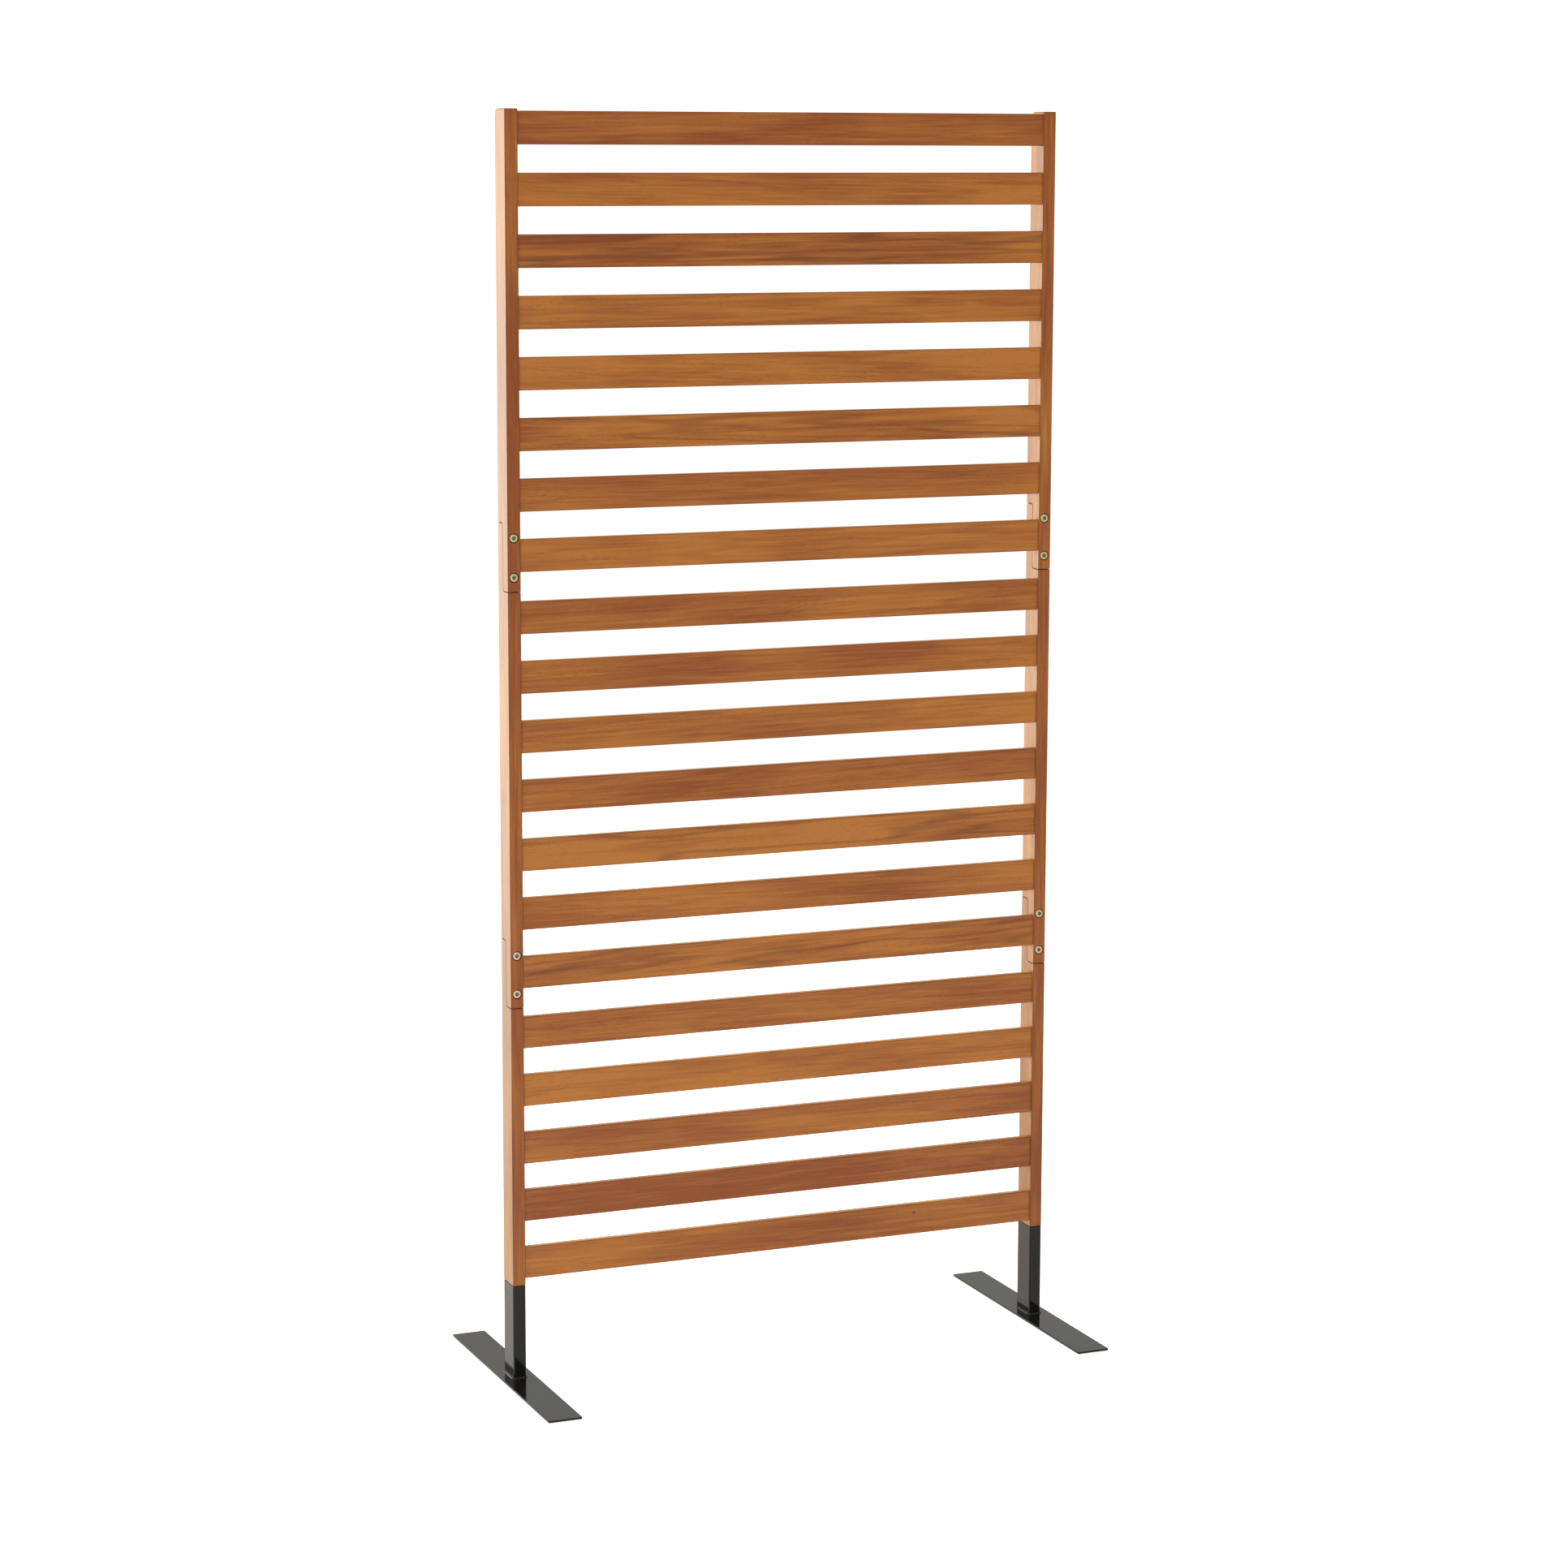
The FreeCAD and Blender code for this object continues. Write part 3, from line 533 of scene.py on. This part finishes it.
# Lap bolts: eight socket-head machine bolts, two through each half lap from the front.
# Cold-forged heads with a knurled side and a broached hexagon socket, sunk in counterbores.
HEAD_RADIUS = 6 * MM
HEAD_HEIGHT = 5 * MM
HEAD_RIM = 1.2 * MM
KNURLS = 32
KNURL_SHARE = 0.012
SHANK_RADIUS = 3 * MM
POINT_SHARE = 0.75
POINT_LENGTH = 0.8 * MM
SOCKET_FLATS = 5 * MM
SOCKET_DEPTH = 3 * MM
SOCKET_MOUTH = 1.13
SOCKET_CHAMFER = 0.35 * MM
SOCKET_CONE = 0.6 * MM
CONE_SHARE = 0.4
SOCKET_RINGS = 3
BOLT_STEPS = 96
BOLT_PITCH = 55 * MM
UPPER_LAPS = 1000 * MM
PLATING_STRAW = "fdf4c8"
PLATING_GREEN = "eef5c2"
PLATING_ROSE = "fbeadb"
# dark olive for inside the sockets: painted shade
SOCKET_PAINTED_SHADE = "8c8462"
PLATING_FILM = 7 * MM

# Yellow passivated zinc: a metal skin that shifts between straw, green and a trace of rose.
yellow_zinc, tree = new_tree("yellow_zinc_steel")
place = put(tree, "TexCoord", {}).outputs["Object"]
film = put(tree, "TexNoise", {"Vector": place, "Scale": 1 / PLATING_FILM, "Detail": 2.0}).outputs["Fac"]
plating_and_socket_shade = put(tree, "Attribute", {}, attribute_name="plating_and_socket_shade").outputs["Vector"]
plating_and_socket_shade = put(tree, "SeparateXYZ", {"Vector": plating_and_socket_shade}).outputs
yellow = put(tree, "Mix", {"Factor": film, "A": linear(PLATING_STRAW), "B": linear(PLATING_GREEN)},
             data_type="RGBA").outputs["Result"]
tint = put(tree, "Mix", {"Factor": plating_and_socket_shade["X"], "A": linear(PLATING_ROSE), "B": yellow},
           data_type="RGBA").outputs["Result"]
# painted shade: the socket walls and floor are darkened towards a dull olive
tint = put(tree, "Mix", {"Factor": plating_and_socket_shade["Y"], "A": tint, "B": linear(SOCKET_PAINTED_SHADE)},
           data_type="RGBA").outputs["Result"]
shade = put(tree, "BsdfPrincipled", {"Base Color": tint, "Metallic": 1.0, "Roughness": 0.36})
put(tree, "OutputMaterial", {"Surface": shade.outputs["BSDF"]})

low, high = (np.array(corner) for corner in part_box("lap_bolts"))
front, back = low[1], high[1]
under = front + HEAD_HEIGHT
turn = np.linspace(0, 2 * np.pi, BOLT_STEPS, endpoint=False)
shank = np.full_like(turn, SHANK_RADIUS)
knurl = 1 - KNURL_SHARE * (0.5 + 0.5 * np.cos(KNURLS * turn))
rim = (HEAD_RADIUS - HEAD_RIM) * knurl + HEAD_RIM * np.cos(bend)[:, None]
socket = hexagon(turn, SOCKET_FLATS)
mouth = np.maximum(socket, SOCKET_FLATS / 2 * SOCKET_MOUTH)
radii = np.concatenate([[POINT_SHARE * shank, shank, shank, HEAD_RADIUS * knurl], rim,
                        [mouth, socket, socket, CONE_SHARE * socket]])
depth = np.concatenate([
    [back, back - POINT_LENGTH, under, under], front + HEAD_RIM * (1 - np.sin(bend)),
    [front, front + SOCKET_CHAMFER, front + SOCKET_DEPTH, front + SOCKET_DEPTH + SOCKET_CONE]])
ring = turned(radii, depth, turn)
step = np.array([0, BOLT_PITCH])
bolt_x = np.array([low[0] + HEAD_RADIUS, high[0] - HEAD_RADIUS])
bolt_z = np.concatenate([low[2] + HEAD_RADIUS + step, high[2] - HEAD_RADIUS - step[::-1]])
grid = np.meshgrid(bolt_x, [0.0], bolt_z, indexing="ij")
spots = np.stack([axis.ravel() for axis in grid], -1)
points = ring[None] + spots[:, None, None]
faces = repeated(skin(ring), len(spots), radii.size)
bolts = new_piece("lap_socket_bolts", points, faces, yellow_zinc, "yellow_zinc_steel", "lap_bolts")
# the plating is yellow on the upper laps and paler on the lower ones; the sockets are painted dark, painted
# shade in the recess
upper = np.broadcast_to((spots[:, 2] > UPPER_LAPS)[:, None, None], points.shape[:3])
socket_shade = np.broadcast_to((np.arange(len(ring)) >= len(ring) - SOCKET_RINGS)[None, :, None], points.shape[:3])
coat = np.stack([upper, socket_shade, np.zeros_like(socket_shade)], -1).astype(np.float32).ravel()
bolts.data.attributes.new("plating_and_socket_shade", "FLOAT_VECTOR", "POINT").data.foreach_set("vector", coat)

# Studio: a wide white floor under a soft white dome, brighter behind the screen on the left.
# The front of the room is dim but for one soft window on the left, so the faces towards the viewer
# keep their depth of colour. The two softboxes are hidden from reflections, so the feet stay black.
STUDIO_WARM = "fffaf1"
FLOOR_WHITE = "f4f4f4"
FLOOR_LIFT = 0.6
FLOOR_LEVEL = -0.4 * MM
FLOOR_CORNERS = ((-8, -8), (8, -8), (8, 4.6), (-8, 4.6))
ROOM_FRONT = 0.38
ROOM_BACK = 0.64
WINDOW_SIDE = (-0.5, -0.78, 0.38)
WINDOW = 0.84
GLOW_SIDE = (-0.42, 0.905, 0)
GLOW = 1.8
BACKDROP_WHITE = 1.1
# where each hangs in metres, its size in metres and its power in watts; both point straight down
SOFTBOXES = {"overhead softbox": ((0, 1.4, 4.5), 4, 60), "backdrop softbox": ((-2.4, 3.6, 3), 3.5, 205)}

# White floor paint: matt, and lifted to pure white where the camera looks straight at it.
floor_paint, tree = new_tree("white_floor")
seen = put(tree, "LightPath", {}).outputs["Is Camera Ray"]
lift = put(tree, "Math", {0: seen, 1: FLOOR_LIFT}, operation="MULTIPLY").outputs[0]
shade = put(tree, "BsdfPrincipled", {"Base Color": linear(FLOOR_WHITE), "Roughness": 0.7,
                                     "Emission Strength": lift, "Emission Color": (1, 1, 1, 1)})
put(tree, "OutputMaterial", {"Surface": shade.outputs["BSDF"]})
mesh = bpy.data.meshes.new("floor")
mesh.from_pydata([(x, y, FLOOR_LEVEL) for x, y in FLOOR_CORNERS], [], [(0, 1, 2, 3)])
mesh.materials.append(floor_paint)
floor = bpy.data.objects.new("floor", mesh)
bpy.context.scene.collection.objects.link(floor)

# the room round the screen: front to back, the window, and a glow low down behind it on the left
world = bpy.data.worlds.new("studio")
world.use_nodes = True
tree = world.node_tree
tree.nodes.clear()
look = put(tree, "TexCoord", {}).outputs["Generated"]
axes = put(tree, "SeparateXYZ", {"Vector": look}).outputs
room = put(tree, "MapRange", {"Value": axes["Y"], "From Min": -0.4, "From Max": 0.5, "To Min": ROOM_FRONT,
                              "To Max": ROOM_BACK}, interpolation_type="SMOOTHSTEP").outputs["Result"]
facing = put(tree, "VectorMath", {0: look, 1: WINDOW_SIDE}, operation="DOT_PRODUCT").outputs["Value"]
window = put(tree, "MapRange", {"Value": facing, "From Min": 0.7, "From Max": 0.95, "To Max": WINDOW},
             interpolation_type="SMOOTHSTEP").outputs["Result"]
room = put(tree, "Math", {0: room, 1: window}, operation="ADD").outputs[0]
aside = put(tree, "VectorMath", {0: look, 1: GLOW_SIDE}, operation="DOT_PRODUCT").outputs["Value"]
glow = put(tree, "MapRange", {"Value": aside, "From Min": 0.86, "From Max": 0.98, "To Max": GLOW},
           interpolation_type="SMOOTHSTEP").outputs["Result"]
low_sky = put(tree, "MapRange", {"Value": axes["Z"], "From Min": 0.06, "From Max": 0.3, "To Min": 1.0,
                                 "To Max": 0.0}, interpolation_type="SMOOTHSTEP").outputs["Result"]
sky = put(tree, "Math", {0: glow, 1: low_sky, 2: room}, operation="MULTIPLY_ADD").outputs[0]
# the camera itself sees plain white
seen = put(tree, "LightPath", {}).outputs["Is Camera Ray"]
strength = put(tree, "Mix", {"Factor": seen, "A": sky, "B": BACKDROP_WHITE}).outputs["Result"]
warmth = put(tree, "Mix", {"Factor": seen, "A": linear(STUDIO_WARM), "B": (1, 1, 1, 1)}, data_type="RGBA")
sky = put(tree, "Background", {"Color": warmth.outputs["Result"], "Strength": strength})
put(tree, "OutputWorld", {"Surface": sky.outputs["Background"]})
for name, (place, size, watts) in SOFTBOXES.items():
    lamp = bpy.data.lights.new(name, "AREA")
    lamp.size = size
    lamp.energy = watts
    lamp.color = linear(STUDIO_WARM)[:3]
    softbox = bpy.data.objects.new(name, lamp)
    softbox.location = place
    softbox.visible_glossy = False
    bpy.context.scene.collection.objects.link(softbox)
bpy.context.scene.world = world
bpy.context.scene.view_settings.view_transform = "Standard"

# Camera: nearly as high as the top of the screen, to its left, looking a little to the right and down.
# A long lens, its shift no larger than the framing of the photo needs.
CAMERA_AT = [-2.1444, -5.1126, 1.7552]
CAMERA_TURN = [22.803, -8.583, -0.177]
camera = bpy.data.cameras.new("camera")
camera.sensor_width = 36
camera.lens = 89.22
camera.shift_y = -0.0352
yaw, pitch, roll = np.radians(CAMERA_TURN)
forward = np.array([np.sin(yaw) * np.cos(pitch), np.cos(yaw) * np.cos(pitch), np.sin(pitch)])
right = np.array([np.cos(yaw), -np.sin(yaw), 0])
down = np.cross(forward, right)
right, down = np.cos(roll) * right + np.sin(roll) * down, np.cos(roll) * down - np.sin(roll) * right
stand = np.eye(4)
stand[:3] = np.stack([right, -down, -forward, CAMERA_AT], -1)
eye = bpy.data.objects.new("camera", camera)
eye.matrix_world = Matrix(stand.tolist())
bpy.context.scene.collection.objects.link(eye)
bpy.context.scene.camera = eye
